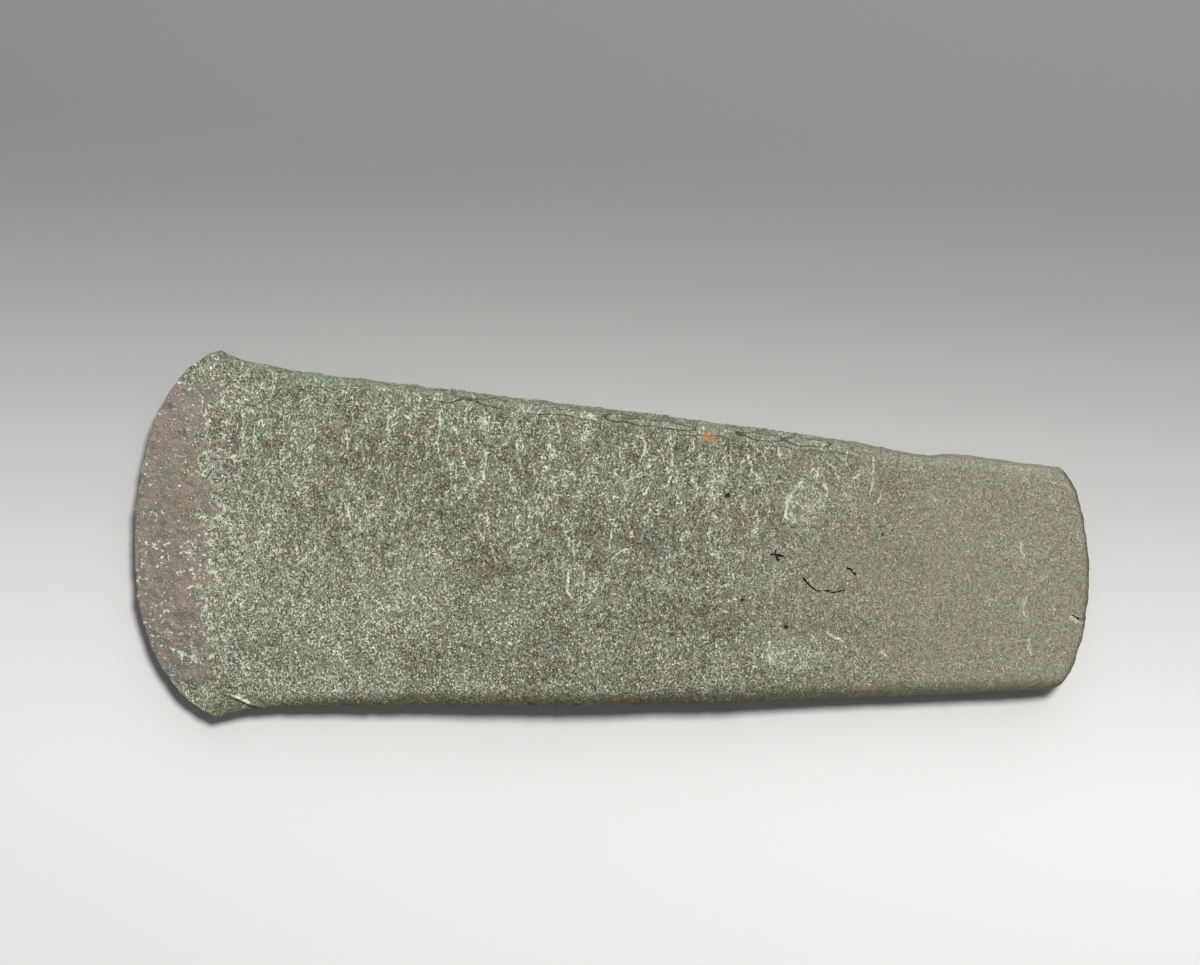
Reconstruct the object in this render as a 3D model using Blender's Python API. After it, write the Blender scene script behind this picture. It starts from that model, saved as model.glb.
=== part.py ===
"""Bronze flat axe head, lying on one broad face, in metres with +Z up.

The cutting edge faces -X and the butt faces +X. The origin is under the middle of the axe, on the
surface that it lies on. Plan points are worked out with x from the foremost point of the cutting edge.
"""

import math

import bmesh
import bpy
import numpy as np

# Plan, seen from above
LENGTH = 0.170  # foremost point of the cutting edge to the end of the butt
EDGE_SPAN = 0.0660  # across the two horns of the cutting edge
WAIST_WIDTH = 0.0614  # across the body where the flare of the horns has died away
BUTT_WIDTH = 0.0396  # across the corners of the butt
UPPER_HORN_SETBACK = 0.0141  # how far each horn stands behind the foremost point of the edge
LOWER_HORN_SETBACK = 0.0159
HORN_REACH = 0.0066  # over which the flare of a horn dies away
UPPER_CORNER_SETBACK = 0.0062  # how far each corner of the butt stands before its end
LOWER_CORNER_SETBACK = 0.0050
UPPER_BOW = 0.0001  # how far each long side swells beyond a straight line
LOWER_BOW = 0.0011

# How a curved end fills out: a higher fullness is flatter in its middle, and a turn near 90 degrees
# comes round almost in line with the long side.
EDGE_FULLNESS = 2.3
UPPER_BUTT_FULLNESS = 1.35
LOWER_BUTT_FULLNESS = 2.6
END_TURN = math.radians(80)

# A shallow dip in the upper side, just before the part of the butt that was hammered thinner
DIP_STATION = 0.1397
DIP_DEPTH = 0.0009
DIP_BEFORE = 0.0100  # over which the side runs down into the dip
DIP_AFTER = 0.0032  # over which it comes up again

# Thickness, seen from the side
EDGE_THICKNESS = 0.0005
BEVEL_LENGTH = 0.0125  # ground and hammered facet along the cutting edge
BEVEL_THICKNESS = 0.0044  # at the shoulder where the facet ends
BODY_THICKNESS = 0.0128
BODY_STATION = 0.090  # where the body is thickest
SEAT_STATION = 0.140  # where the thinned butt begins, the seat of a haft
SEAT_THICKNESS = 0.0074
BUTT_THICKNESS = 0.0056
SHOULDER_SOFTNESS = 0.0004
REST_DEPTH = 0.00045  # how much of the swell the flat resting spot takes off

# The body falls away towards its long sides, most of all behind the blade
BODY_CROWN = 0.07
BLADE_CROWN = 0.42
CROWN_REACH = 0.026
CROWN_POWER = 2.6

# Rounding of the arrises
UPPER_ROUNDING = 0.0019
LOWER_ROUNDING = 0.0040
BUTT_ROUNDING = 0.0018
MOST_ROUNDING = 0.9  # as a share of the half thickness
SIDE_BULGE = 0.035  # how far a side stands out, as a share of its own height

# Long, shallow hammer waves of the broad faces
WAVE_HEIGHT = 0.00016
WAVE_LENGTH = 0.034
FADE_REACH = 0.012  # over which waves and crown die away towards the seat, and waves towards the outline

# How finely the surface is divided
STATION_PITCH = 0.0032
ROW_PITCH = 0.0044
WALL_LAYERS = 4
OUTLINE_POINTS = 240

BRONZE_COLOUR = (0.235, 0.232, 0.172, 1.0)
BRONZE_ROUGHNESS = 0.78
BRONZE_METALLIC = 0.15


def clear_scene():
    for thing in list(bpy.data.objects):
        bpy.data.objects.remove(thing, do_unlink=True)


def blend(start, end, share):
    return start + (end - start) * share


def end_curve(share, fullness):
    """From 0 at the middle of a curved end to 1 at its corner, by the share of the half width."""
    turned = math.sin(END_TURN)
    reached = 1 - np.sqrt(1 - (turned * np.abs(share)) ** fullness)
    return reached / (1 - math.sqrt(1 - turned**fullness))


def long_side(along, setback, corner_setback, bow):
    """Points of a long side with y above 0, for shares of the way from its horn to its butt corner."""
    corner = LENGTH - corner_setback
    x = blend(setback, corner, along)
    straight = blend(WAIST_WIDTH / 2, BUTT_WIDTH / 2, along)
    flare = (EDGE_SPAN - WAIST_WIDTH) / 2 * np.exp(-(x - setback) / HORN_REACH)
    flare *= 1 - along
    return x, straight + flare + bow * 4 * along * (1 - along)


def upper_side(along):
    x, y = long_side(along, UPPER_HORN_SETBACK, UPPER_CORNER_SETBACK, UPPER_BOW)
    reach = (x - DIP_STATION) / np.where(x < DIP_STATION, DIP_BEFORE, DIP_AFTER)
    return x, y - DIP_DEPTH * np.exp(-(reach**2))


def lower_side(along):
    x, y = long_side(along, LOWER_HORN_SETBACK, LOWER_CORNER_SETBACK, LOWER_BOW)
    return x, -y


def cutting_edge(across):
    """Points of the cutting edge, for across from -1 at the lower horn to 1 at the upper one."""
    setback = np.where(across > 0, UPPER_HORN_SETBACK, LOWER_HORN_SETBACK)
    return setback * end_curve(across, EDGE_FULLNESS), EDGE_SPAN / 2 * across


def butt_end(across):
    setback = np.where(across > 0, UPPER_CORNER_SETBACK, LOWER_CORNER_SETBACK)
    upper = end_curve(across, UPPER_BUTT_FULLNESS)
    lower = end_curve(across, LOWER_BUTT_FULLNESS)
    return LENGTH - setback * np.where(across > 0, upper, lower), BUTT_WIDTH / 2 * across


def plan_point(along, across):
    """A point inside the outline, blended from its four sides. along and across are arrays."""
    up = (across + 1) / 2
    edge, butt = cutting_edge(across), butt_end(across)
    lower, upper = lower_side(along), upper_side(along)
    ends = np.array([-1.0, 1.0])
    edge_corners, butt_corners = cutting_edge(ends), butt_end(ends)
    point = []
    for axis in (0, 1):
        lengthwise = blend(edge[axis], butt[axis], along)
        crosswise = blend(lower[axis], upper[axis], up)
        low_corner = blend(edge_corners[axis][0], butt_corners[axis][0], along)
        high_corner = blend(edge_corners[axis][1], butt_corners[axis][1], along)
        point.append(lengthwise + crosswise - blend(low_corner, high_corner, up))
    return np.stack(point, axis=-1)


def distance_to(points, curve):
    """Shortest distance from each point to a curve given as a row of points."""
    starts, steps = curve[:-1], np.diff(curve, axis=0)
    offset = points[:, None, :] - starts[None, :, :]
    reach = (offset * steps).sum(-1) / (steps**2).sum(-1)
    nearest = starts + np.clip(reach, 0, 1)[..., None] * steps
    return np.sqrt(((points[:, None, :] - nearest) ** 2).sum(-1)).min(1)


def outline_curves():
    share = np.linspace(0, 1, OUTLINE_POINTS)
    across = np.sin((share - 0.5) * math.pi)  # closer together towards the horns and corners
    return {
        "edge": np.stack(cutting_edge(across), -1),
        "butt": np.stack(butt_end(across), -1),
        "upper": np.stack(upper_side(share), -1),
        "lower": np.stack(lower_side(share), -1),
    }


def eased(share, start, end, start_slope, end_slope, span):
    """Cubic from start to end with those slopes, over a span that share runs along from 0 to 1."""
    s2, s3 = share**2, share**3
    return (
        (2 * s3 - 3 * s2 + 1) * start
        + (s3 - 2 * s2 + share) * start_slope * span
        + (3 * s2 - 2 * s3) * end
        + (s3 - s2) * end_slope * span
    )


def half_thickness_along(x):
    """Half the thickness on the middle line, without the bevel of the blade."""
    blade_span = BODY_STATION - BEVEL_LENGTH
    blade_slope = 1.5 * (BODY_THICKNESS - BEVEL_THICKNESS) / 2 / blade_span
    thinning_span = SEAT_STATION - BODY_STATION
    seat_slope = (BUTT_THICKNESS - SEAT_THICKNESS) / 2 / (LENGTH - SEAT_STATION)
    bevel = BEVEL_THICKNESS / 2 + (x - BEVEL_LENGTH) * blade_slope
    swell = eased(
        (x - BEVEL_LENGTH) / blade_span, BEVEL_THICKNESS / 2, BODY_THICKNESS / 2, blade_slope, 0, blade_span
    )
    thinning = eased(
        (x - BODY_STATION) / thinning_span, BODY_THICKNESS / 2, SEAT_THICKNESS / 2, 0, seat_slope, thinning_span
    )
    seat = SEAT_THICKNESS / 2 + (x - SEAT_STATION) * seat_slope
    zones = [x < BEVEL_LENGTH, x < BODY_STATION, x < SEAT_STATION]
    return np.select(zones, [bevel, swell, thinning], seat)


def softer_least(a, b, softness):
    """The smaller of two heights, with the corner between them eased."""
    near = np.clip(0.5 + (b - a) / (2 * softness), 0, 1)
    return blend(b, a, near) - softness * near * (1 - near)


def rounding_drop(distance, radius):
    inside = np.clip(radius - distance, 0, radius)
    return radius - np.sqrt(radius**2 - inside**2)


def off_seat(x):
    """From 1 on the body down to 0 at the start of the seat, which is flat."""
    share = np.clip((SEAT_STATION - x) / FADE_REACH, 0, 1)
    return share**2 * (3 - 2 * share)


def half_height(points, across, curves):
    """Half the thickness at each plan point, with the bevel, the crown and the rounded arrises."""
    x = points[:, 0]
    crown = BODY_CROWN * off_seat(x) + BLADE_CROWN * np.exp(-x / CROWN_REACH)
    body = half_thickness_along(x) * (1 - crown * np.abs(across) ** CROWN_POWER)
    bevel_slope = (BEVEL_THICKNESS - EDGE_THICKNESS) / 2 / BEVEL_LENGTH
    bevel = EDGE_THICKNESS / 2 + bevel_slope * distance_to(points, curves["edge"])
    full = softer_least(body, bevel, SHOULDER_SOFTNESS)
    drops = []
    for side, rounding in (("upper", UPPER_ROUNDING), ("lower", LOWER_ROUNDING), ("butt", BUTT_ROUNDING)):
        radius = np.minimum(rounding, MOST_ROUNDING * full)
        drops.append(rounding_drop(distance_to(points, curves[side]), radius))
    drop = np.sqrt(sum(d**2 for d in drops))
    return full - np.minimum(drop, MOST_ROUNDING * full)


def hammer_waves(points, curves, phase):
    """Shallow unevenness of a broad face, which dies away at the edges and on the seat of the haft."""
    turn = 2 * math.pi / WAVE_LENGTH
    x, y = points[:, 0] * turn, points[:, 1] * turn
    waves = np.sin(x + 0.6 * y + phase) * np.cos(0.8 * y - 0.3 * x + 2 * phase)
    waves += 0.6 * np.sin(1.7 * x - 1.3 * y + 3 * phase)
    inward = np.min([distance_to(points, curve) for curve in curves.values()], axis=0)
    return WAVE_HEIGHT * waves * np.clip(inward / FADE_REACH, 0, 1) * off_seat(points[:, 0])


def spaced(length, pitch, close):
    """Shares from 0 to 1, close together at the ends by the given distances and even between them."""
    near, far = np.array(close[0]) / length, 1 - np.array(close[1])[::-1] / length
    count = max(2, round((far[0] - near[-1]) * length / pitch))
    even = np.linspace(near[-1], far[0], count + 1)[1:-1]
    return np.concatenate([near, even, far])


def block_shell(stations, rows, layers):
    """The outside of a block of cells: the keys of its points, and quads of keys that face outwards."""
    quads = []
    for i in range(stations):
        for j in range(rows):
            ring = [(i, j), (i + 1, j), (i + 1, j + 1), (i, j + 1)]
            quads.append([(a, b, layers) for a, b in ring])
            quads.append([(a, b, 0) for a, b in reversed(ring)])
    for k in range(layers):
        for i in range(stations):
            ring = [(i, k), (i + 1, k), (i + 1, k + 1), (i, k + 1)]
            quads.append([(a, 0, b) for a, b in ring])
            quads.append([(a, rows, b) for a, b in reversed(ring)])
        for j in range(rows):
            ring = [(j, k), (j, k + 1), (j + 1, k + 1), (j + 1, k)]
            quads.append([(0, a, b) for a, b in ring])
            quads.append([(stations, a, b) for a, b in reversed(ring)])
    keys = sorted({key for quad in quads for key in quad})
    return keys, quads


def outward(points, curves):
    """Direction away from the middle of the nearest stretch of outline, in plan."""
    outline = np.concatenate([curves["edge"], curves["upper"], curves["butt"][::-1], curves["lower"][::-1]])
    ahead = np.roll(outline, -1, axis=0) - np.roll(outline, 1, axis=0)
    normal = np.stack([-ahead[:, 1], ahead[:, 0]], -1)
    normal /= np.maximum(np.linalg.norm(normal, axis=1, keepdims=True), 1e-12)
    nearest = ((points[:, None, :] - outline[None, :, :]) ** 2).sum(-1).argmin(1)
    return normal[nearest]


def surface_points():
    """Positions of the shell's points, and its quads as rows of indices."""
    blade_lines = (0, 0.0009, 0.0022, 0.0042, 0.0068, 0.0098, BEVEL_LENGTH)
    butt_lines = (0, 0.0003, 0.0009, 0.0019, 0.0042)
    side_lines = (0, 0.0003, 0.0010, 0.0021, 0.0040, 0.0072)
    along = spaced(LENGTH, STATION_PITCH, (blade_lines, butt_lines))
    width = (WAIST_WIDTH + BUTT_WIDTH) / 2
    across = spaced(width, ROW_PITCH, (side_lines, side_lines)) * 2 - 1
    keys, quads = block_shell(len(along) - 1, len(across) - 1, WALL_LAYERS)
    station, row, layer = np.array(keys).T
    curves = outline_curves()
    plan = plan_point(along[station], across[row])
    half = half_height(plan, across[row], curves)
    middle = BODY_THICKNESS / 2 - REST_DEPTH
    level = layer / WALL_LAYERS * 2 - 1
    z = middle + half * level
    top, bottom = layer == WALL_LAYERS, layer == 0
    z = z + np.where(top, hammer_waves(plan, curves, 0.4), 0) + np.where(bottom, hammer_waves(plan, curves, 1.9), 0)
    z = np.maximum(z, 0)
    bulge = 2 * SIDE_BULGE * half * (1 - level**2)
    plan = plan + outward(plan, curves) * bulge[:, None]
    points = np.column_stack([plan, z])
    points[:, :2] -= (points.min(0) + points.max(0))[:2] / 2
    number = {key: n for n, key in enumerate(keys)}
    return points, [[number[key] for key in quad] for quad in quads]


def patinated_bronze():
    material = bpy.data.materials.new("patinated_bronze")
    material.use_nodes = True
    shader = material.node_tree.nodes["Principled BSDF"]
    shader.inputs["Base Color"].default_value = BRONZE_COLOUR
    shader.inputs["Roughness"].default_value = BRONZE_ROUGHNESS
    shader.inputs["Metallic"].default_value = BRONZE_METALLIC
    material.diffuse_color = BRONZE_COLOUR
    return material


def make_axe_head():
    points, quads = surface_points()
    shell = bmesh.new()
    corners = [shell.verts.new(p) for p in points]
    for quad in quads:
        shell.faces.new([corners[n] for n in quad])
    bmesh.ops.recalc_face_normals(shell, faces=shell.faces)
    mesh = bpy.data.meshes.new("axe_head")
    shell.to_mesh(mesh)
    shell.free()
    mesh.shade_smooth()
    mesh.set_sharp_from_angle(angle=math.radians(40))
    mesh.materials.append(patinated_bronze())
    axe_head = bpy.data.objects.new("axe_head", mesh)
    bpy.context.collection.objects.link(axe_head)
    return axe_head


def main():
    clear_scene()
    make_axe_head()


main()
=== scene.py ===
import math

import bmesh
import bpy
import numpy as np
from mathutils import Matrix, noise


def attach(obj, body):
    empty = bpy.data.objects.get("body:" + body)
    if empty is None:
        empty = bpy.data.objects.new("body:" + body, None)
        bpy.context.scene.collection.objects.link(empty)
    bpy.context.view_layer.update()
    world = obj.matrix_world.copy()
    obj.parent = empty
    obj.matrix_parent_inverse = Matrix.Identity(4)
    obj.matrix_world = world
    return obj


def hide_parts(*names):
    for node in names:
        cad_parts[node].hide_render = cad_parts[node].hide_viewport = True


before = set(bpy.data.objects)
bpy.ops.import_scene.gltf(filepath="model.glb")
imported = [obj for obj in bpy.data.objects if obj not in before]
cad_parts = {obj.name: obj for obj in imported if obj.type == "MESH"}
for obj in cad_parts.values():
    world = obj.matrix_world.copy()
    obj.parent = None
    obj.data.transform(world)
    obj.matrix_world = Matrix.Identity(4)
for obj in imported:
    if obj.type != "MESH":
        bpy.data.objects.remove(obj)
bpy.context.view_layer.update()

print("axe: frame loaded")


def srgb(red, green, blue):  # a colour in screen values, made linear for the shader
    parts = [c / 255 for c in (red, green, blue)]
    return tuple(c / 12.92 if c <= 0.04045 else ((c + 0.055) / 1.055) ** 2.4 for c in parts) + (1.0,)


# All that can be changed on the axe head, in millimetres
axeHead = {
    # The outline, with x from the foremost point of the cutting edge
    "plan": {
        "length": 170.0,
        "edgeSpan": 66.0,  # across the two horns
        "waistWidth": 61.4,
        "buttWidth": 39.6,
        "hornSetback": (14.1, 15.9),  # upper side, lower side
        "hornReach": 6.6,
        "cornerSetback": (6.2, 5.0),
        "bow": (0.1, 1.1),
        "edgeFullness": 2.3,
        "buttFullness": (1.35, 2.6),
        "endTurn": math.radians(80),
        "dip": {"station": 139.7, "depth": 0.9, "before": 10.0, "after": 3.2},
    },
    # The thickness, seen from the side, and how the arrises are rounded
    "profile": {
        "edgeThickness": 0.5,
        "bevelLength": 12.5,
        "bevelThickness": 4.4,
        "bodyThickness": 12.8,
        "bodyStation": 90.0,
        "seatStation": 140.0,
        "seatThickness": 7.4,
        "buttThickness": 5.6,
        "shoulderSoftness": 0.4,
        "restDepth": 0.45,
        "bodyCrown": 0.07,
        "bladeCrown": 0.42,
        "crownReach": 26.0,
        "crownPower": 2.6,
        "rounding": {"upper": 1.9, "lower": 4.0, "butt": 1.8},
        "mostRounding": 0.9,
        "sideBulge": 0.035,
        "waveHeight": 0.16,
        "waveLength": 34.0,
        "fadeReach": 12.0,
    },
    # How finely the skin is divided before its seen faces are halved again
    "skin": {
        "stations": 208,
        "rows": 62,
        "layers": 8,
        "closeLines": (0, 0.15, 0.56, 1.2),  # rows near an arris, in millimetres
        "markReach": (0.8, 0.4),  # faces this near to a crack or a vein are halved again, then once more
    },
    # Where each mark is: x from the cutting edge, y towards the upper side
    "marks": {
        "cracks": {  # half width of each, then its way
            "long": (
                0.15,
                [(119.1, -1.6), (120.2, -2.8), (121.6, -3.8), (122.8, -3.6), (124.7, -4.0), (126.4, -3.5)],
            ),
            "short": (0.17, [(126.8, 0.5), (127.4, 0.4), (127.6, -0.1), (128.2, -0.6)]),
            "starLevel": (0.20, [(113.1, 2.4), (113.8, 2.5), (114.4, 2.3), (115.3, 2.2)]),
            "starUpright": (0.21, [(113.8, 3.2), (113.8, 2.5), (114.2, 1.7), (114.5, 1.4)]),
            "buttNotch": (0.15, [(167.3, -6.0), (168.3, -6.6), (169.7, -6.7)]),
        },
        "crackDepth": 0.70,
        "crackWander": 0.13,
        "pits": [  # x, y and radius of the deepest holes
            (116.6, -10.5, 0.40), (108.5, -6.0, 0.36), (132.0, 8.0, 0.30), (132.6, 7.0, 0.26),
            (129.1, -12.5, 0.28), (98.0, -3.5, 0.34), (104.8, 12.5, 0.50),
        ],
        "chips": [  # x, y and radius of the nicks in the outline
            (169.6, 9.6, 1.3), (170.6, -7.4, 0.7), (168.3, 12.9, 0.8), (0.6, 9.0, 0.9), (1.9, -18.2, 0.8),
        ],
        "crease": [(16.9, -28.0), (18.6, -28.9), (20.9, -29.9), (22.4, -30.2)],
        "knobs": [(118.6, 12.2, 3.8, 4.6), (118.3, -14.9, 5.2, 3.5)],  # x, y and reach along and across
        "veinWander": 0.34,
        "veins": {  # half width of the pale crust, then its ways
            0.21: [
                [(53.6, 24.5), (53.7, 21.9), (53.4, 19.3), (54.0, 15.9)],
                [(57.1, 18.9), (57.9, 16.3), (59.5, 13.6)],
                [(88.4, 22.4), (89.7, 21.9), (89.9, 20.4), (89.3, 18.0), (88.8, 15.5), (86.6, 13.6)],
                [(98.3, 22.5), (98.4, 20.2)],
                [(98.8, 16.9), (98.4, 14.6)],
                [(91.1, 14.4), (90.2, 12.0)],
                [(76.5, 7.5), (76.1, 6.6), (76.6, 4.8), (77.6, 1.9), (79.0, 0.3)],
                [(84.4, 2.3), (84.9, 4.2), (85.0, 7.2), (86.1, 5.0)],
                [(87.7, 2.4), (85.8, 1.3), (84.8, -0.6), (84.1, -3.4)],
                [(77.6, -2.3), (77.4, -5.9), (78.5, -7.2)],
                [(80.6, -2.2), (80.1, -4.9)],
                [(109.6, 21.9), (109.5, 20.5)],
                [(113.4, 21.8), (113.4, 20.4), (113.2, 18.9)],
                [(118.7, 16.8), (119.4, 17.9), (120.5, 17.3), (120.3, 15.8)],
                [(125.3, 21.2), (125.5, 18.9)],
                [(128.1, 17.9), (126.3, 15.9)],
                [(130.0, 20.5), (130.2, 18.8), (130.0, 13.8)],
                [(132.0, 15.2), (131.8, 13.6), (131.0, 12.2)],
                [(111.0, -14.0), (111.1, -16.0), (111.0, -18.8)],
                [(157.1, 6.5), (157.5, 5.1), (157.9, 3.8)],
                [(159.0, -2.9), (158.4, -4.5), (158.3, -5.8), (159.1, -6.7)],
                [(159.7, -10.5), (159.9, -11.9), (160.5, -13.4)],
                [(167.0, -6.3), (168.1, -7.1), (169.3, -7.2)],
            ],
            0.34: [
                [(67.4, 20.0), (67.7, 18.2), (68.1, 15.9)],
                [(71.9, 17.4), (73.1, 15.5)],
                [(82.7, -4.5), (81.8, -6.4)],
                [(108.0, 20.7), (108.4, 18.8), (108.9, 16.7)],
                [(122.3, 19.1), (123.3, 18.1), (124.1, 16.5)],
                [(117.7, 15.8), (116.8, 14.3), (115.3, 12.0), (115.2, 9.2), (116.5, 8.4)],
                [(121.9, 15.4), (122.4, 14.1), (122.2, 12.9)],
                [(113.5, -13.2), (113.5, -15.5), (114.2, -17.8)],
                [(124.0, -11.2), (126.5, -12.6)],
                [(133.8, -14.2), (134.8, -15.3)],
                # Along the crease's ridge: pale crust, painted there as the ridge's highlight
                [(17.2, -28.4), (19.4, -29.2), (21.6, -29.9)],
            ],
        },
    },
    # Soft spots of a finish: x, y, reach along, reach across, strength
    "spots": {
        "crust": [
            (61.5, 22.9, 1.3, 1.9, 0.75), (125.5, 13.5, 1.1, 0.9, 0.75),
            (110.0, 6.3, 1.0, 1.6, 0.75), (37.8, -26.3, 1.2, 0.9, 0.75),
        ],
        "worn": [(75.0, 3.0, 42.0, 9.0, 0.14)],
        "greenEdge": [(2.0, 13.0, 30.0, 5.5, 0.9)],
        "brown": [(119.5, -2.0, 1.8, 1.5, 0.5), (104.0, 4.4, 1.2, 1.0, 0.5)],
        "pink": [(122.7, 8.1, 2.2, 0.9, 1.0), (122.3, 16.9, 1.6, 0.9, 0.8), (129.0, 16.4, 1.3, 1.0, 0.6)],
        "ochre": [(101.05, 22.7, 2.1, 1.3, 1.0), (130.2, -20.7, 3.6, 1.4, 0.6)],
        "rust": [(89.0, -27.5, 2.2, 3.0, 1.0), (99.3, -27.0, 1.5, 3.0, 1.0)],
    },
    # How high and deep the corroded skin is
    "relief": {
        "lumps": (0.22, (13, 11, 11)),  # height, then the width of one bump
        "wrinkles": (0.18, (2.3, 6.5, 6.5)),
        "grain": (0.15, 1.5),
        "fineGrain": (0.11, 0.8),
        "bladeFolds": (0.16, (2.6, 4.2, 4)),
        "pits": (0.24, 1.9),  # depth, then width
        "layers": (0.10, (9, 1.1, 1)),
        "ragged": {"edge": 0.22, "upper": 0.20, "lower": 0.06, "butt": 0.20},  # how uneven each outline is
        "raggedSize": 3.6,
        "vein": 0.05,
        "knobRim": 0.20,
        "knobHollow": 0.18,
        "crease": {"height": 0.32, "width": 0.45},
        "underCrease": {"depth": 0.45, "width": 0.40, "shift": (0.3, -0.75)},
        "chip": 0.32,
    },
    # The finish, with the colours of painted shade in the blade's folds, on the lower side and along the
    # butt's rim
    "patina": {
        "ground": srgb(139, 129, 110),
        "greyGround": srgb(131, 135, 117),
        "buttGround": srgb(145, 138, 119),
        "buttGreen": srgb(138, 138, 120),
        "buttPale": srgb(204, 203, 184),
        "brown": srgb(126, 112, 95),
        "pink": srgb(144, 128, 119),
        "dark": srgb(44, 42, 28),
        "mint": srgb(236, 238, 220),
        "paleGreen": srgb(184, 206, 178),
        "malachite": srgb(133, 164, 132),
        "cuprite": srgb(149, 132, 123),
        "cupritePurple": srgb(129, 125, 114),
        # the blade's cuprite darkened as painted shade in the hollows of its folds
        "cupriteFoldShade": srgb(88, 80, 70),
        # olive tint of the lower side, darkened there as painted shade
        "oliveAndShade": srgb(108, 105, 74),
        "layer": srgb(140, 148, 124),
        # painted shade: the dark outline of the butt's rounded end
        "rimShade": srgb(74, 72, 58),
        "ochre": srgb(192, 142, 84),
        "rust": srgb(150, 76, 44),
        "crack": srgb(42, 34, 22),
        "redReach": 12.4,  # how far the red of the blade goes back from the edge
        "redSpan": 29.5,  # and how far it goes up and down from the middle
        "crystal": 0.20,  # width of one pale crystal
        "bump": 0.26,
    },
}
plan, profile, skin = axeHead["plan"], axeHead["profile"], axeHead["skin"]
marks, spotPlaces, relief, patina = (axeHead[part] for part in ("marks", "spots", "relief", "patina"))
outermost = 0.9999  # a share past this one is on the outer skin


def blend(start, end, share):
    return start + (end - start) * share


def smooth(value, low, high):
    share = np.clip((value - low) / (high - low), 0, 1)
    return share * share * (3 - 2 * share)


def endCurve(share, fullness):
    turned = math.sin(plan["endTurn"])
    reached = 1 - np.sqrt(1 - (turned * np.abs(share)) ** fullness)
    return reached / (1 - math.sqrt(1 - turned**fullness))


def longSide(along, side):
    setback = plan["hornSetback"][side]
    x = blend(setback, plan["length"] - plan["cornerSetback"][side], along)
    straight = blend(plan["waistWidth"] / 2, plan["buttWidth"] / 2, along)
    flare = (plan["edgeSpan"] - plan["waistWidth"]) / 2 * np.exp(-(x - setback) / plan["hornReach"])
    return x, straight + flare * (1 - along) + plan["bow"][side] * 4 * along * (1 - along)


def upperSide(along):
    x, y = longSide(along, 0)
    dip = plan["dip"]
    reach = (x - dip["station"]) / np.where(x < dip["station"], dip["before"], dip["after"])
    return x, y - dip["depth"] * np.exp(-(reach**2))


def lowerSide(along):
    x, y = longSide(along, 1)
    return x, -y


def cuttingEdge(across):
    setback = np.where(across > 0, *plan["hornSetback"])
    return setback * endCurve(across, plan["edgeFullness"]), plan["edgeSpan"] / 2 * across


def buttEnd(across):
    setback = np.where(across > 0, *plan["cornerSetback"])
    filled = np.where(across > 0, *(endCurve(across, f) for f in plan["buttFullness"]))
    return plan["length"] - setback * filled, plan["buttWidth"] / 2 * across


def planPoint(along, across):
    up = (across + 1) / 2
    ends = np.array([-1.0, 1.0])
    edge, butt = cuttingEdge(across), buttEnd(across)
    lower, upper = lowerSide(along), upperSide(along)
    edgeCorners, buttCorners = cuttingEdge(ends), buttEnd(ends)
    point = []
    for axis in (0, 1):
        lengthwise = blend(edge[axis], butt[axis], along)
        crosswise = blend(lower[axis], upper[axis], up)
        lowCorner = blend(edgeCorners[axis][0], buttCorners[axis][0], along)
        highCorner = blend(edgeCorners[axis][1], buttCorners[axis][1], along)
        point.append(lengthwise + crosswise - blend(lowCorner, highCorner, up))
    return np.stack(point, axis=-1)


def distanceTo(points, curve):  # in batches, so that it stays small in memory
    starts, steps = curve[:-1], np.diff(curve, axis=0)
    found = []
    for batch in np.array_split(points, max(1, len(points) // 3000)):
        offset = batch[:, None, :] - starts[None, :, :]
        reach = np.clip((offset * steps).sum(-1) / (steps**2).sum(-1), 0, 1)
        found.append(np.sqrt(((offset - reach[..., None] * steps) ** 2).sum(-1)).min(1))
    return np.concatenate(found)


def outlineCurves():
    share = np.linspace(0, 1, 200)
    across = np.sin((share - 0.5) * math.pi)
    return {
        "edge": np.stack(cuttingEdge(across), -1),
        "butt": np.stack(buttEnd(across), -1),
        "upper": np.stack(upperSide(share), -1),
        "lower": np.stack(lowerSide(share), -1),
    }


def eased(share, start, end, startSlope, endSlope, span):
    s2, s3 = share**2, share**3
    rise = (s3 - 2 * s2 + share) * startSlope + (s3 - s2) * endSlope
    return blend(start, end, 3 * s2 - 2 * s3) + rise * span


def halfThickness(x):
    p = profile
    bevelHalf, bodyHalf, seatHalf = (p[k] / 2 for k in ("bevelThickness", "bodyThickness", "seatThickness"))
    bladeSpan = p["bodyStation"] - p["bevelLength"]
    bladeSlope = 1.5 * (bodyHalf - bevelHalf) / bladeSpan
    thinSpan = p["seatStation"] - p["bodyStation"]
    seatSlope = (p["buttThickness"] / 2 - seatHalf) / (plan["length"] - p["seatStation"])
    bevel = bevelHalf + (x - p["bevelLength"]) * bladeSlope
    swell = eased((x - p["bevelLength"]) / bladeSpan, bevelHalf, bodyHalf, bladeSlope, 0, bladeSpan)
    thinning = eased((x - p["bodyStation"]) / thinSpan, bodyHalf, seatHalf, 0, seatSlope, thinSpan)
    seat = seatHalf + (x - p["seatStation"]) * seatSlope
    zones = [x < p["bevelLength"], x < p["bodyStation"], x < p["seatStation"]]
    return np.select(zones, [bevel, swell, thinning], seat)


def offSeat(x):  # 1 on the body, down to 0 where the flat seat of the haft starts
    return smooth(profile["seatStation"] - x, 0, profile["fadeReach"])


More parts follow.
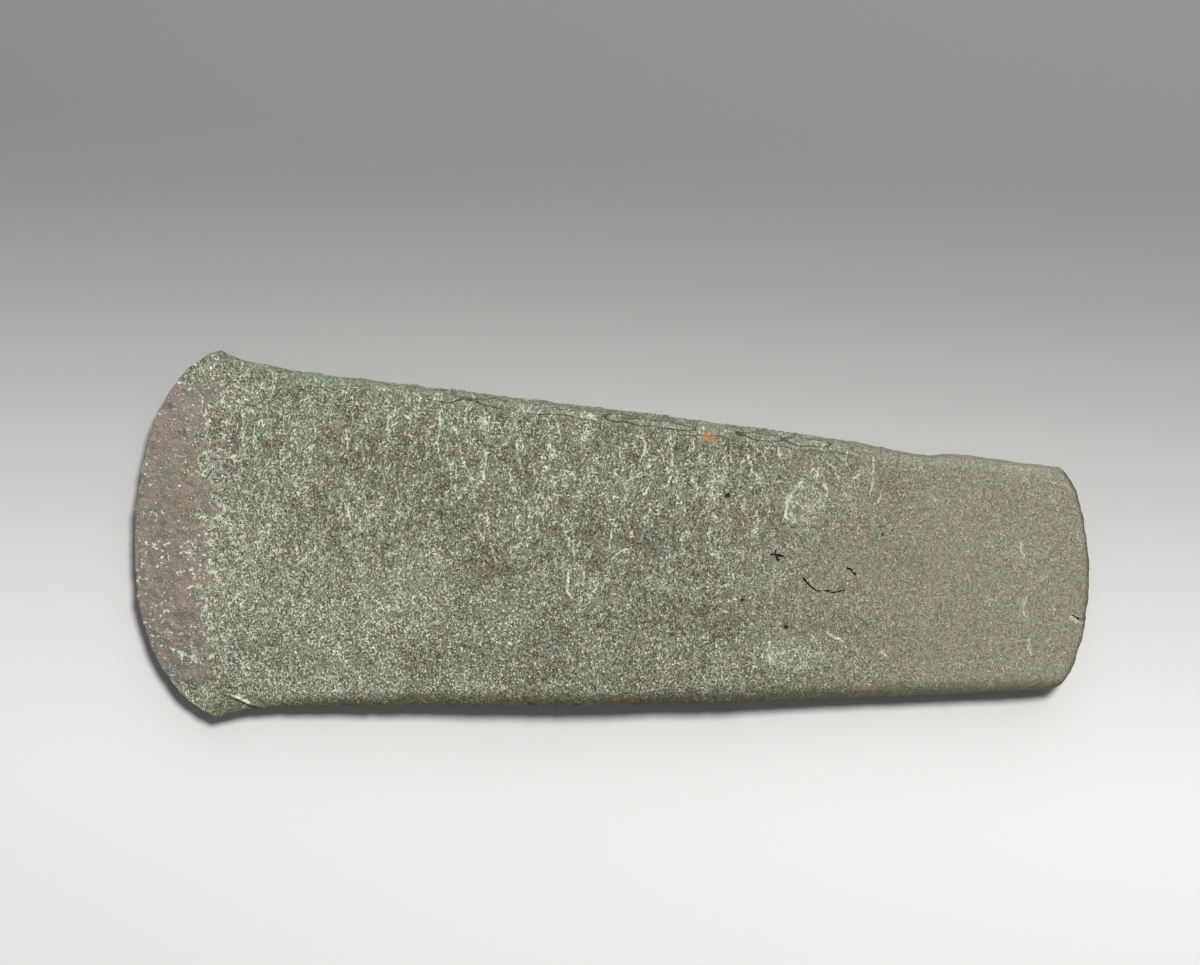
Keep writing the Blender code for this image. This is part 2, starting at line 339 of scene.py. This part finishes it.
def halfHeight(points, across, away):
    p = profile
    x = points[:, 0]
    crown = p["bodyCrown"] * offSeat(x) + p["bladeCrown"] * np.exp(-x / p["crownReach"])
    body = halfThickness(x) * (1 - crown * np.abs(across) ** p["crownPower"])
    bevelSlope = (p["bevelThickness"] - p["edgeThickness"]) / 2 / p["bevelLength"]
    bevel = p["edgeThickness"] / 2 + bevelSlope * away["edge"]
    near = np.clip(0.5 + (bevel - body) / (2 * p["shoulderSoftness"]), 0, 1)
    full = blend(bevel, body, near) - p["shoulderSoftness"] * near * (1 - near)
    drop = 0
    for side, rounding in p["rounding"].items():
        radius = np.minimum(rounding, p["mostRounding"] * full)
        inside = np.clip(radius - away[side], 0, radius)
        drop = drop + (radius - np.sqrt(radius**2 - inside**2)) ** 2
    return full - np.minimum(np.sqrt(drop), p["mostRounding"] * full)


def hammerWaves(points, away, phase):
    turn = 2 * math.pi / profile["waveLength"]
    x, y = points[:, 0] * turn, points[:, 1] * turn
    waves = np.sin(x + 0.6 * y + phase) * np.cos(0.8 * y - 0.3 * x + 2 * phase)
    waves += 0.6 * np.sin(1.7 * x - 1.3 * y + 3 * phase)
    inward = np.clip(np.min(list(away.values()), axis=0) / profile["fadeReach"], 0, 1)
    return profile["waveHeight"] * waves * inward * offSeat(points[:, 0])


def outwardFrom(points, curves):
    outline = np.concatenate([curves["edge"], curves["upper"], curves["butt"][::-1], curves["lower"][::-1]])
    ahead = np.roll(outline, -1, axis=0) - np.roll(outline, 1, axis=0)
    normal = np.stack([-ahead[:, 1], ahead[:, 0]], -1)
    normal /= np.maximum(np.linalg.norm(normal, axis=1, keepdims=True), 1e-9)
    nearest = [((b[:, None] - outline[None]) ** 2).sum(-1).argmin(1) for b in np.array_split(points, 40)]
    return normal[np.concatenate(nearest)]


def spaced(length, count):  # shares from 0 to 1 with close lines at both ends
    close = np.array(skin["closeLines"]) / length
    even = np.linspace(close[-1], 1 - close[-1], count - 2 * len(close) + 3)[1:-1]
    return np.concatenate([close, even, 1 - close[::-1]])


def blockSkin():  # the outside of a block, as shares along, across and through the axe
    along = spaced(plan["length"], skin["stations"])
    across = spaced((plan["waistWidth"] + plan["buttWidth"]) / 2, skin["rows"]) * 2 - 1
    level = np.linspace(-1, 1, skin["layers"] + 1)
    lines = [along, across, level]
    block = bmesh.new()
    made = {}

    def corner(*place):
        if place not in made:
            made[place] = block.verts.new([lines[axis][n] for axis, n in enumerate(place)])
        return made[place]

    for flatAxis in range(3):
        first, second = (axis for axis in range(3) if axis != flatAxis)
        for end in (0, len(lines[flatAxis]) - 1):
            for a in range(len(lines[first]) - 1):
                for b in range(len(lines[second]) - 1):
                    ring = []
                    for stepA, stepB in ((0, 0), (1, 0), (1, 1), (0, 1)):
                        place = [0, 0, 0]
                        place[flatAxis], place[first], place[second] = end, a + stepA, b + stepB
                        ring.append(corner(*place))
                    turned = (end == 0) != (flatAxis == 1)
                    block.faces.new(ring[::-1] if turned else ring)
    return block


def isHidden(edge):  # on the face it lies on, or on its lower side
    return all(v.co.z < -outermost for v in edge.verts) or all(v.co.y < -outermost for v in edge.verts)


def pathDistance(points, path):
    return distanceTo(points[:, :2], np.array(path, dtype=float))


def spots(points, name):
    total = 0
    for x, y, reachX, reachY, strength in spotPlaces[name]:
        total = total + strength * np.exp(
            -(((points[:, 0] - x) / reachX) ** 2) - ((points[:, 1] - y) / reachY) ** 2
        )
    return total


def grain(points, size, seed, octaves=1):  # Perlin noise, with size the width of one bump
    scaled = points / np.array(size) + np.array([seed * 7.13, seed * 3.71, seed * 5.39])
    basis = "PERLIN_ORIGINAL"
    return np.array([noise.fractal(p, 0.8, 2.0, octaves, noise_basis=basis) for p in scaled.tolist()])


def bumps(points, name, seed, octaves):
    height, size = relief[name]
    return height * grain(points, size, seed, octaves)


def baseShape(shares):
    curves = outlineCurves()
    flat = planPoint(shares[:, 0], shares[:, 1])
    away = {side: distanceTo(flat, curve) for side, curve in curves.items()}
    half = halfHeight(flat, shares[:, 1], away)
    level = shares[:, 2]
    z = profile["bodyThickness"] / 2 - profile["restDepth"] + half * level
    z += np.where(level > outermost, hammerWaves(flat, away, 0.4), 0)
    z += np.where(level < -outermost, hammerWaves(flat, away, 1.9), 0)
    bulge = 2 * profile["sideBulge"] * half * (1 - level**2)
    flat = flat + outwardFrom(flat, curves) * bulge[:, None]
    return np.column_stack([flat, np.maximum(z, 0)]), away


def vertexShares(block):
    return np.array([v.co[:] for v in block.verts])


def refine(block):
    seen = [edge for edge in block.edges if not isHidden(edge)]
    bmesh.ops.subdivide_edges(block, edges=seen, cuts=1, use_grid_fill=True)
    ways = [way for width, way in marks["cracks"].values()] + sum(marks["veins"].values(), [])
    for reach in skin["markReach"]:
        shares = vertexShares(block)
        flat = planPoint(shares[:, 0], shares[:, 1])
        near = np.min([pathDistance(flat, way) for way in ways], axis=0) < reach
        near &= shares[:, 2] > outermost
        block.verts.ensure_lookup_table()
        block.verts.index_update()
        edges = [e for e in block.edges if near[e.verts[0].index] and near[e.verts[1].index]]
        bmesh.ops.subdivide_edges(block, edges=edges, cuts=1, use_grid_fill=True)
    bmesh.ops.triangulate(block, faces=[f for f in block.faces if len(f.verts) > 4])


def meshFrom(points, block):
    block.verts.index_update()
    mesh = bpy.data.meshes.new("axeHead")
    mesh.from_pydata(points.tolist(), [], [[v.index for v in face.verts] for face in block.faces])
    mesh.shade_smooth()
    return mesh


def normalsOf(mesh):
    found = np.empty(len(mesh.vertices) * 3, dtype=np.float32)
    mesh.vertex_normals.foreach_get("vector", found)
    return found.reshape(-1, 3)


def alongVeins(points):  # they wander a little and thin out here and there
    wander = [marks["veinWander"] * grain(points, 1.3, seed, 2) for seed in (15, 16)]
    moved = points + np.column_stack(wander + [0 * points[:, 0]])
    found = np.zeros(len(points))
    for width, ways in marks["veins"].items():
        for way in ways:
            found = np.maximum(found, np.exp(-((pathDistance(moved, way) / width) ** 2)))
    return found * (0.65 + 0.35 * smooth(grain(points, 1.6, 17, 2), -0.25, 0.15))


def carve(points, away, top):  # heights of the corroded skin along its own normals
    x, y, z = points.T
    small = grain(points, 2.6, 12, 3)
    bladeward = 1 - smooth(away["edge"], 9, 13)
    buttward = smooth(x + 7 * grain(points, 9, 14, 3) + 3 * small - 0.3 * np.abs(y), 94, 148)
    rough = (1 - 0.45 * bladeward) * (1 - 0.72 * buttward)
    streaky = smooth(y, -16, 6) * smooth(x, 12, 20) * (1 - smooth(x, 118, 140))
    height = bumps(points, "lumps", 1, 2) * (1 - buttward)
    wrinkleHeight, wrinkleSize = relief["wrinkles"]
    ridges = 1 - 2 * np.abs(grain(points, wrinkleSize, 2, 2))
    crests = smooth(ridges, 0.62, 0.97) * (0.25 + 0.75 * streaky) * (1 - 0.8 * bladeward)
    height += wrinkleHeight * (crests - 0.25) * rough
    height += bumps(points, "grain", 3, 2) * rough
    height += bumps(points, "fineGrain", 4, 1) * (0.35 + 0.65 * rough)
    height += bumps(points, "bladeFolds", 19, 3) * bladeward
    pitDepth, pitSize = relief["pits"]
    holes = smooth(grain(points, pitSize, 5, 2), 0.34, 0.72)
    fall = np.maximum(halfThickness(x) + profile["bodyThickness"] / 2 - profile["restDepth"] - z, 0)
    over = away["upper"] + fall * (y > 0)
    layered = smooth(x, 36, 60) * (1 - smooth(over, 1.8, 3.2)) * (y > 0) * (1 - 0.8 * smooth(x, 122, 134))
    height -= pitDepth * holes * (1 - 0.75 * buttward) * (1 - 0.8 * layered)
    height += bumps(np.column_stack([x, over, 0 * x]), "layers", 6, 2) * layered
    for side, uneven in relief["ragged"].items():
        height += uneven * grain(points, relief["raggedSize"], 7, 3) * (1 - smooth(away[side], 0.2, 2.2))
    veins = top * alongVeins(points)
    height += relief["vein"] * veins
    for kx, ky, rx, ry in marks["knobs"]:
        radius = np.hypot((x - kx) / rx, (y - ky) / ry) + 0.16 * grain(points, 3, 8, 2)
        height += top * relief["knobRim"] * np.exp(-(((radius - 1) / 0.17) ** 2)) * smooth(y - ky, -4, 1)
        height -= top * relief["knobHollow"] * smooth(0.95 - radius, 0, 0.35)
    for cx, cy, reach in marks["chips"]:
        height -= relief["chip"] * smooth(reach - np.hypot(x - cx, y - cy), 0, 0.5 * reach)
    crease, under = relief["crease"], relief["underCrease"]
    creased = pathDistance(points, marks["crease"])
    height += top * crease["height"] * np.exp(-((creased / crease["width"]) ** 2))
    shiftX, shiftY = under["shift"]
    below = pathDistance(points, [(a + shiftX, b + shiftY) for a, b in marks["crease"][1:]])
    height -= top * under["depth"] * np.exp(-((below / under["width"]) ** 2))
    crack = np.zeros(len(points))
    wander = marks["crackWander"] * grain(points, 0.7, 9, 2)
    for width, way in marks["cracks"].values():
        crack = np.maximum(crack, smooth(width - pathDistance(points, way) - wander, 0, 0.12))
    for px, py, reach in marks["pits"]:
        radius = np.hypot(x - px, y - py) + 2 * wander
        crack = np.maximum(crack, smooth(reach - radius, 0, 0.25))
    crack *= top
    height -= marks["crackDepth"] * crack
    found = {"crack": crack, "crests": crests * rough, "veins": veins, "buttward": buttward}
    found.update({"streaky": streaky, "over": over, "layered": layered, "small": small})
    return height, found


def stainsAndShade(points, normals, away, top, found):  # where each finish and each painted shade shows, from 0 to 1
    x, y = points[:, 0], points[:, 1]
    buttward, small = found["buttward"], found["small"]
    patches = grain(points, 7.5, 11, 3)
    edgeWander = 4.0 * grain(points, 5, 13, 2) + 3.2 * small
    # The red of the blade tapers towards the horns
    redReach = patina["redReach"] * (1 - np.clip(np.abs(y + 1.5 * small) / patina["redSpan"], 0, 1) ** 4)
    fromRed = away["edge"] + edgeWander - redReach
    cuprite = (1 - smooth(fromRed, -4.2, 3.4)) * smooth(redReach, 1, 6)
    leftward = 1 - smooth(x, 30, 75)
    lowward = 1 - smooth(y, -12, 16)
    verdigris = 0.59 + 0.11 * leftward + (0.06 + 0.19 * leftward) * lowward - 0.12 * buttward
    verdigris += 0.30 * patches * (1 - 0.5 * buttward)
    verdigris += 0.36 * (found["crests"] - 0.2) - spots(points, "worn")
    fringe = np.exp(-(((fromRed - 0.8) / 1.8) ** 2)) * smooth(redReach, 1, 6)
    verdigris += 0.25 * fringe + 0.35 * smooth(x, 149, 156) * (1 - smooth(x, 162, 168)) * (0.6 + small)
    crust = np.maximum(found["veins"], top * spots(points, "crust"))
    for kx, ky, rx, ry in marks["knobs"]:
        radius = np.hypot((x - kx) / rx, (y - ky) / ry) + 0.16 * small
        verdigris += top * 0.55 * (1 - smooth(radius, 0.85, 1.15))
    verdigris *= 1 - 0.72 * cuprite
    # Painted shade on the lower side: where the skin turns down towards −Y, away from the lamps, and along
    # the lower arris, it is tinted a dark olive and keeps fewer pale crystals; the olive tint itself is the
    # bronze's own
    lowerArris = 1 - smooth(away["lower"] + 0.6 * small, 1.2, 3.6)
    oliveAndShade = np.maximum(smooth(-normals[:, 1], 0.18, 0.7), 0.7 * lowerArris)
    # Painted shade: a dark outline on the butt's rounded end, where the skin turns towards +X and away from
    # the top
    rimShade = (1 - smooth(normals[:, 2], 0.35, 0.92)) * smooth(normals[:, 0], 0.2, 0.5)
    verdigris *= 1 - 0.6 * oliveAndShade
    nearTop = 1 - smooth(away["upper"] + 2.0 * small, 0.4, 4.4)
    malachite = nearTop * (smooth(x, 14, 20) * (1 - smooth(x, 34, 62)) * (0.62 + 0.4 * small) + 0.15)
    malachite += (1 - smooth(away["edge"] + small, 0.4, 1.8)) * spots(points, "greenEdge")
    malachite += 0.35 * smooth(small, 0.25, 0.6) * cuprite
    brown = 0.6 * smooth(0.7 * small - 0.4 * patches, 0.0, 0.5) * (1 - 0.4 * buttward)
    brown += top * spots(points, "brown")
    pink = top * spots(points, "pink")
    pink += 0.5 * smooth(fromRed, -3, 1) * (1 - smooth(fromRed, 1, 9)) * smooth(redReach, 1, 6)
    ochre = top * spots(points, "ochre")
    rust = spots(points, "rust") * smooth(-normals[:, 1], 0.3, 0.7) * (0.95 + 0.9 * small)
    rust *= smooth(points[:, 2] + 2 * small, 4.0, 7.0)
    shares = {"cuprite": cuprite, "verdigris": verdigris, "malachite": malachite, "brown": brown}
    shares.update({"pink": pink, "ochre": ochre, "rust": rust, "oliveAndShade": oliveAndShade, "rimShade": rimShade})
    shares.update({"fringe": fringe, "veins": crust})
    shares.update({name: found[name] for name in ("crack", "buttward", "streaky", "layered")})
    fields = {name: np.clip(values, 0, 1.2) for name, values in shares.items()}
    fields["over"] = found["over"]  # in millimetres, over the upper arris
    return fields


class Signal:  # one socket, so that shader maths reads as Python
    def __init__(self, tree, socket=None):
        self.tree = tree
        self.socket = socket

    def node(self, kind, settings, inputs, output=0):
        made = self.tree.nodes.new(kind)
        for name, value in settings.items():
            setattr(made, name, value)
        for name, value in inputs.items():
            if isinstance(value, Signal):
                self.tree.links.new(value.socket, made.inputs[name])
            else:
                made.inputs[name].default_value = value
        return Signal(self.tree, made.outputs[output])

    def maths(self, operation, *values):
        return self.node("ShaderNodeMath", {"operation": operation}, dict(enumerate(values)))

    def __add__(self, other):
        return self.maths("ADD", self, other)

    def __sub__(self, other):
        return self.maths("SUBTRACT", self, other)

    def __rsub__(self, other):
        return self.maths("SUBTRACT", other, self)

    def __mul__(self, other):
        return self.maths("MULTIPLY", self, other)

    def __abs__(self):
        return self.maths("ABSOLUTE", self)

    __radd__ = __add__
    __rmul__ = __mul__


def patinaMaterial():
    material = bpy.data.materials.new("corrodedBronze")
    material.use_nodes = True
    tree = material.node_tree
    shader = tree.nodes["Principled BSDF"]
    s = Signal(tree)

    def field(name):
        return s.node("ShaderNodeAttribute", {"attribute_name": name}, {}, "Fac")

    def rise(value, low, high):
        settings = {"interpolation_type": "SMOOTHSTEP"}
        return s.node("ShaderNodeMapRange", settings, {"Value": value, "From Min": low, "From Max": high})

    def mixed(factor, first, second):
        return s.node("ShaderNodeMix", {"data_type": "RGBA"}, {0: factor, 6: first, 7: second}, 2)

    def larger(first, *others):
        for other in others:
            first = s.maths("MAXIMUM", first, other)
        return first

    place = s.node("ShaderNodeTexCoord", {}, {}, "Object")

    def vectorMaths(operation, *values):
        return s.node("ShaderNodeVectorMath", {"operation": operation}, dict(enumerate(values)))

    def moved(size, stretch, shift):  # the place on the axe, with size in millimetres as one step
        scaled = vectorMaths("MULTIPLY", place, tuple(1000 / size * part for part in stretch))
        return vectorMaths("ADD", scaled, (shift, shift * 2, -shift))

    def noiseAt(vector, detail, roughness, distortion=0.0):
        values = {"Vector": vector, "Scale": 1.0, "Detail": detail, "Roughness": roughness}
        return s.node("ShaderNodeTexNoise", {}, {**values, "Distortion": distortion}, "Fac")

    def cloud(size, shift, detail=2.0, roughness=0.55, stretch=(1, 1, 1), distortion=0.0):
        return noiseAt(moved(size, stretch, shift), detail, roughness, distortion)

    def crystals(size, shift, stretch):  # a random tone for each small crystal
        where = moved(size, stretch, shift)
        bent = s.node("ShaderNodeTexNoise", {}, {"Vector": where, "Scale": 1.7, "Detail": 2.0}, "Color")
        bent = vectorMaths("MULTIPLY_ADD", bent, (0.6, 0.6, 0.6), where)
        tones = s.node("ShaderNodeTexVoronoi", {}, {"Vector": bent, "Scale": 1.0}, "Color")
        return s.node("ShaderNodeSeparateColor", {}, {0: tones}, 0)

    def lines(value, width):  # thin lines where a cloud passes its middle
        return rise(0.5 - abs(value - 0.5), 0.5 - width, 0.5 - 0.3 * width)

    verdigris, cuprite, malachite = field("verdigris"), field("cuprite"), field("malachite")
    brown, oliveAndShade, crack, buttward = field("brown"), field("oliveAndShade"), field("crack"), field("buttward")
    streaky, layered = field("streaky"), field("layered")

    # The ground under the crust, with painted shade in the blade's folds and on the lower side
    greys = 0.5 * cloud(3.2, 3, 4, 0.6) + 0.5 * cloud(0.9, 4, 2)
    colour = mixed(rise(greys, 0.42, 0.58), patina["ground"], patina["greyGround"])
    buttColour = mixed(rise(cloud(2.2, 17, 4, 0.65), 0.38, 0.64), patina["buttGround"], patina["buttGreen"])
    colour = mixed(buttward, colour, buttColour)
    purple = mixed(rise(cloud(2.4, 9, 3, 0.6), 0.44, 0.60), patina["cuprite"], patina["cupritePurple"])
    blade = rise(cuprite + 1.6 * cloud(1.2, 5, 4, 0.7), 0.95, 1.55)
    wrinkles = cloud(1.6, 95, 3, 0.6, (0.75, 1.1, 1), 0.6)
    # Painted shade: the blade's colour darkens in the hollows of its folds, where the bump is low
    foldShade = rise(1 - wrinkles, 0.56, 0.68) * blade
    colour = mixed(blade, colour, mixed(foldShade * 0.45, purple, patina["cupriteFoldShade"]))
    colour = mixed(rise(brown + 0.8 * cloud(1.1, 12, 3), 0.55, 1.05) * 0.55, colour, patina["brown"])
    colour = mixed(rise(field("pink") + 0.6 * cloud(0.9, 14, 3), 0.45, 1.0) * 0.8, colour, patina["pink"])
    # The lower side's own olive tint, darkened as painted shade
    colour = mixed(oliveAndShade * 0.8, colour, patina["oliveAndShade"])
    colour = mixed(layered * 0.4, colour, patina["layer"])
    calm = larger(buttward, blade)

    # Small crystals of every tone, denser and paler along the veins, then the thinner seams
    fine = cloud(0.34, 33, 3, 0.65)
    veins = rise(field("veins") + 1.8 * fine, 1.30, 1.70)
    lift = 0.36 * (verdigris - 0.60) * (1 - 0.5 * calm) + 0.28 * field("veins")
    streak = (cloud(1.0, 66, 3, 0.6, (1, 0.26, 1)) - 0.5) * streaky * (1 - calm)
    tone = crystals(patina["crystal"], 33, (1.1, 0.75, 1)) + 1.4 * (fine - 0.5) + lift + 0.5 * streak
    seams = lines(cloud(2.6, 64, 2, 0.5, (1, 0.36, 1), 0.5), 0.026) * rise(fine, 0.42, 0.50)
    seams = seams * rise(cloud(1.0, 67, 2) + 0.1 * streaky, 0.46, 0.55) * streaky * (1 - calm)
    buttLines = lines(cloud(2.2, 68, 2, 0.5, (1, 0.55, 1), 0.6), 0.022)
    buttLines = buttLines * rise(fine, 0.44, 0.54) * buttward
    threads = lines(cloud(0.60, 41, 1.5, 0.5, (1, 0.5, 1), 0.4), 0.022)
    threads = threads * rise(cloud(1.3, 52, 2) + 0.3 * lift, 0.50, 0.55) * (1 - calm)
    specks = cloud(0.80, 57, 3) + 0.26 * (cloud(4.5, 58, 2) - 0.5) + 0.1 * verdigris
    specks = rise(specks, 0.635, 0.70) * blade
    pits = rise(1 - cloud(0.62, 99, 3), 0.66, 0.71)
    shallow = 1 - 0.46 * calm - 0.4 * blade - 0.3 * layered - 0.4 * oliveAndShade
    pore = larger(rise(1 - tone, 0.59, 1.03) * shallow, pits * (1 - 0.7 * calm))
    colour = mixed(pore * 0.77, colour, patina["dark"])
    fringeSpecks = rise(cloud(0.70, 59, 3) + 0.12 * field("fringe"), 0.63, 0.67) * field("fringe")
    grains = rise(tone - 0.10 * calm - 0.05 * streaky, 0.64, 0.97) * (1 - 0.26 * calm) * (1 - 0.6 * oliveAndShade)
    veins = veins * (1 - 0.3 * buttward)
    paleness = larger(grains, seams, 0.5 * buttLines, threads, specks, fringeSpecks, veins)
    greener = rise(cloud(1.1, 61, 3) + 0.10 * malachite, 0.44, 0.58)
    paleColour = mixed(greener, patina["mint"], patina["paleGreen"])
    paleColour = mixed(buttward * 0.85, paleColour, patina["buttPale"])
    colour = mixed(paleness * 0.94, colour, paleColour)
    green = rise(0.25 * malachite + cloud(0.55, 71, 3, 0.6), 0.60, 0.80) * malachite
    colour = mixed(green * 0.75, colour, patina["malachite"])

    # Long thin layers laid open along the upper arris
    apart = s.node("ShaderNodeSeparateXYZ", {}, {0: place}, "X")
    unrolled = s.node("ShaderNodeCombineXYZ", {}, {"X": apart * (1000 / 11), "Y": field("over") * 0.15})
    level = s.maths("SINE", field("over") * 9 + 26 * noiseAt(unrolled, 2, 0.5))
    splits = rise(level, 0.80, 0.98) * rise(layered + cloud(2.0, 77, 2, 0.5, (0.35, 1, 1)), 0.92, 1.3)
    colour = mixed(splits * 0.7, colour, patina["dark"])

    # Painted shade along the butt's rounded end
    colour = mixed(field("rimShade") * 0.85, colour, patina["rimShade"])
    ochre = rise(field("ochre") + 2.2 * cloud(0.8, 81, 3, 0.65), 1.50, 2.05)
    colour = mixed(ochre * 0.85, colour, patina["ochre"])
    rust = rise(field("rust") + 1.6 * cloud(0.8, 86, 3, 0.65), 1.10, 1.75)
    colour = mixed(rust * 0.85, colour, patina["rust"])
    colour = mixed(rise(crack, 0.15, 0.7), colour, patina["crack"])

    tree.links.new(colour.socket, shader.inputs["Base Color"])
    rough = 0.80 - 0.14 * calm - 0.05 * paleness
    tree.links.new(rough.socket, shader.inputs["Roughness"])
    coarse = cloud(0.75, 92, 3, 0.6)
    height = (fine * 0.9 + paleness * 0.3 - pore * 0.4 - splits * 0.4) * (1 - 0.35 * calm)
    height = height + coarse * 0.7 + 1.6 * wrinkles * blade
    bumpHeight = patina["bump"] / 1000
    bump = s.node("ShaderNodeBump", {}, {"Strength": 1.0, "Distance": bumpHeight, "Height": height})
    tree.links.new(bump.socket, shader.inputs["Normal"])
    shader.inputs["Metallic"].default_value = 0.0
    shader.inputs["Specular IOR Level"].default_value = 0.35
    return material


def makeAxeHead():
    block = blockSkin()
    refine(block)
    shares = vertexShares(block)
    points, away = baseShape(shares)
    mesh = meshFrom(points, block)
    normals = normalsOf(mesh)
    top = smooth(normals[:, 2], 0.1, 0.4)
    height, found = carve(points, away, top)
    fields = stainsAndShade(points, normals, away, top, found)
    points = points + normals * height[:, None]
    points[:, 2] = np.maximum(points[:, 2], 0)
    points[:, 0] -= plan["length"] / 2
    mesh = meshFrom(points / 1000, block)
    for name, values in fields.items():
        mesh.attributes.new(name, "FLOAT", "POINT").data.foreach_set("value", values.astype(np.float32))
    block.free()
    mesh.materials.append(patinaMaterial())
    piece = bpy.data.objects.new("axeHead", mesh)
    bpy.context.collection.objects.link(piece)
    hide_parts("axe_head")
    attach(piece, "root")
    mesh.calc_loop_triangles()
    print("axe: skin of", len(mesh.loop_triangles), "triangles")


floor = {
    "size": 3.0,
    "front": (0.855, 0.85, 0.845, 1.0),
    "back": (0.235, 0.235, 0.232, 1.0),
    "paintedFalloff": (-0.052, 0.076),  # painted shade: the paper's colour darkens softly between these places along Y, so the back of the floor reads as a backdrop falling off into shade
    "roughness": 0.9,
    "shine": 0.2,
}


def makeFloor():
    half = floor["size"] / 2
    corners = [(-half, -half, 0), (half, -half, 0), (half, half, 0), (-half, half, 0)]
    mesh = bpy.data.meshes.new("floor")
    mesh.from_pydata(corners, [], [(0, 1, 2, 3)])
    material = bpy.data.materials.new("palePaper")
    material.use_nodes = True
    shader = material.node_tree.nodes["Principled BSDF"]
    s = Signal(material.node_tree)
    place = s.node("ShaderNodeTexCoord", {}, {}, "Object")
    along = s.node("ShaderNodeSeparateXYZ", {}, {0: place}, "Y")
    near, far = floor["paintedFalloff"]
    # Painted shade: the paper goes from the pale front colour to the grey back colour along Y
    settings = {"interpolation_type": "SMOOTHSTEP"}
    share = s.node("ShaderNodeMapRange", settings, {"Value": along, "From Min": near, "From Max": far})
    tones = {0: share, 6: floor["front"], 7: floor["back"]}
    paper = s.node("ShaderNodeMix", {"data_type": "RGBA"}, tones, 2)
    s.tree.links.new(paper.socket, shader.inputs["Base Color"])
    shader.inputs["Roughness"].default_value = floor["roughness"]
    shader.inputs["Specular IOR Level"].default_value = floor["shine"]
    mesh.materials.append(material)
    sheet = bpy.data.objects.new("floor", mesh)
    bpy.context.collection.objects.link(sheet)


lights = {
    "key": {"place": (0.16, 0.40, 0.86), "size": 0.18, "watts": 8.7, "colour": (1.0, 0.985, 0.96)},
    "fill": {"place": (0.10, 0.70, 0.50), "size": 0.9, "watts": 2.4, "colour": (0.97, 0.98, 1.0)},
}
sky = {"colour": (0.95, 0.97, 1.0, 1.0), "strength": 0.12}


def makeLights():
    for name, wanted in lights.items():
        lamp = bpy.data.lights.new(name, "AREA")
        lamp.shape = "DISK"
        lamp.size = wanted["size"]
        lamp.energy = wanted["watts"]
        lamp.color = wanted["colour"]
        holder = bpy.data.objects.new(name, lamp)
        holder.location = wanted["place"]
        holder.rotation_euler = (-holder.location).to_track_quat("-Z", "Y").to_euler()
        bpy.context.collection.objects.link(holder)
    world = bpy.data.worlds.new("softSky")
    world.use_nodes = True
    background = world.node_tree.nodes["Background"]
    background.inputs["Color"].default_value = sky["colour"]
    background.inputs["Strength"].default_value = sky["strength"]
    bpy.context.scene.world = world


view = {
    "lens": 90.0,
    "place": (-0.00059, 0.07885, 0.53483),
    "tilt": 7.1,  # degrees from straight down, looking back from the upper side
    "pan": 0.23,
    "roll": 3.0,
}


def makeCamera():
    data = bpy.data.cameras.new("camera")
    data.lens = view["lens"]
    data.sensor_width = 36.0
    data.clip_start = 0.01
    camera = bpy.data.objects.new("camera", data)
    turn = Matrix.Rotation(-math.radians(view["tilt"]), 4, "X")
    turn = turn @ Matrix.Rotation(math.radians(view["pan"]), 4, "Y")
    turn = turn @ Matrix.Rotation(math.radians(view["roll"]), 4, "Z")
    camera.matrix_world = Matrix.Translation(view["place"]) @ turn
    bpy.context.collection.objects.link(camera)
    bpy.context.scene.camera = camera


makeAxeHead()
makeFloor()
makeLights()
makeCamera()
bpy.context.scene.view_settings.view_transform = "Standard"
print("axe: floor, lights and camera placed")
